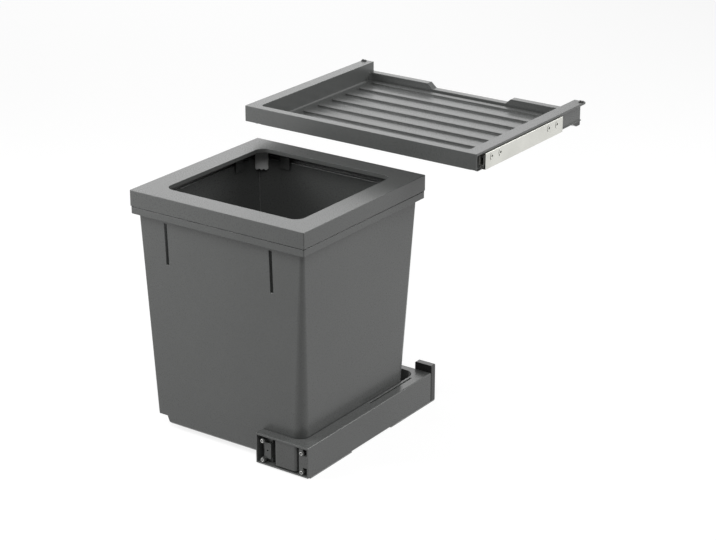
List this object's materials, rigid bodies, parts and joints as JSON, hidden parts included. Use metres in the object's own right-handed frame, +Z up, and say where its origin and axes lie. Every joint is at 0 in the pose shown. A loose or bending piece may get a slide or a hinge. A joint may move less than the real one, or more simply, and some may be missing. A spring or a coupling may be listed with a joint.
{
  "type": "pull out waste bin fitting",
  "caption": "Cabinet fitting with a waste bin and bag frame on a floor mounted pull out carriage, below a separate pull out tray on side runners",
  "frame": {"origin": "middle of the four floor screw holes of the base rail, on the underside of its feet", "axes": "+X to the right as one faces the cabinet, +Y into the cabinet, +Z up"},
  "size_m": [0.476, 0.6815, 0.4852],
  "materials": {
    "grey_plastic": "fine grained anthracite moulding",
    "tray_plastic": "fine grained anthracite moulding",
    "clip_plastic": "plain grey moulding",
    "bracket_plastic": "plain grey moulding",
    "black_plastic": "plain black moulding",
    "rail_steel": "grey powder coat",
    "runner_steel": "nickel plated",
    "socket_steel": "blackened steel",
    "screw_steel": "bright zinc",
    "ball_steel": "polished"
  },
  "bodies": {
    "cabinet_fixings": {"base_rail": "rail_steel", "rear_stop": "black_plastic", "stop_screws": "screw_steel", "base_fixed_member": "runner_steel", "base_rail_rivets": "screw_steel", "left_cabinet_member": "runner_steel", "right_cabinet_member": "runner_steel"},
    "carriage_middle": {"base_middle_member": "runner_steel", "base_ball_cages": "black_plastic", "base_balls": "ball_steel"},
    "carriage": {"carriage_housing": "grey_plastic", "front_block": "bracket_plastic", "left_front_bracket": "bracket_plastic", "right_front_bracket": "bracket_plastic", "bracket_bushes": "screw_steel", "bracket_screws": "socket_steel", "base_moving_member": "runner_steel", "carriage_screws": "screw_steel", "bin": "grey_plastic"},
    "bag_frame": {"bag_frame": "grey_plastic", "corner_clips": "clip_plastic"},
    "left_middle": {"left_middle_member": "runner_steel", "left_ball_cages": "black_plastic", "left_balls": "ball_steel"},
    "right_middle": {"right_middle_member": "runner_steel", "right_ball_cages": "black_plastic", "right_balls": "ball_steel"},
    "tray": {"tray": "tray_plastic", "left_drawer_member": "runner_steel", "right_drawer_member": "runner_steel", "left_tray_screws": "screw_steel", "right_tray_screws": "screw_steel", "left_rear_catch": "black_plastic", "right_rear_catch": "black_plastic", "left_flange_clip": "black_plastic", "right_flange_clip": "black_plastic"}
  },
  "joints": [
    {"name": "carriage_slide", "type": "slide", "parent": "cabinet_fixings", "child": "carriage", "axis": [0, -1, 0], "range_m": [0, 0.33]},
    {"name": "carriage_middle_slide", "type": "slide", "parent": "cabinet_fixings", "child": "carriage_middle", "axis": [0, -1, 0], "range_m": [0, 0.165]},
    {"name": "bag_frame_lift", "type": "slide", "parent": "carriage", "child": "bag_frame", "axis": [0, 0, 1], "range_m": [0, 0.02]},
    {"name": "tray_slide", "type": "slide", "parent": "cabinet_fixings", "child": "tray", "axis": [0, -1, 0], "range_m": [0, 0.25]},
    {"name": "left_middle_slide", "type": "slide", "parent": "cabinet_fixings", "child": "left_middle", "axis": [0, -1, 0], "range_m": [0, 0.125]},
    {"name": "right_middle_slide", "type": "slide", "parent": "cabinet_fixings", "child": "right_middle", "axis": [0, -1, 0], "range_m": [0, 0.125]}
  ],
  "couplings": [
    {"joint": "carriage_middle_slide", "follows": "carriage_slide", "ratio": 0.5},
    {"joint": "left_middle_slide", "follows": "tray_slide", "ratio": 0.5},
    {"joint": "right_middle_slide", "follows": "tray_slide", "ratio": 0.5}
  ]
}
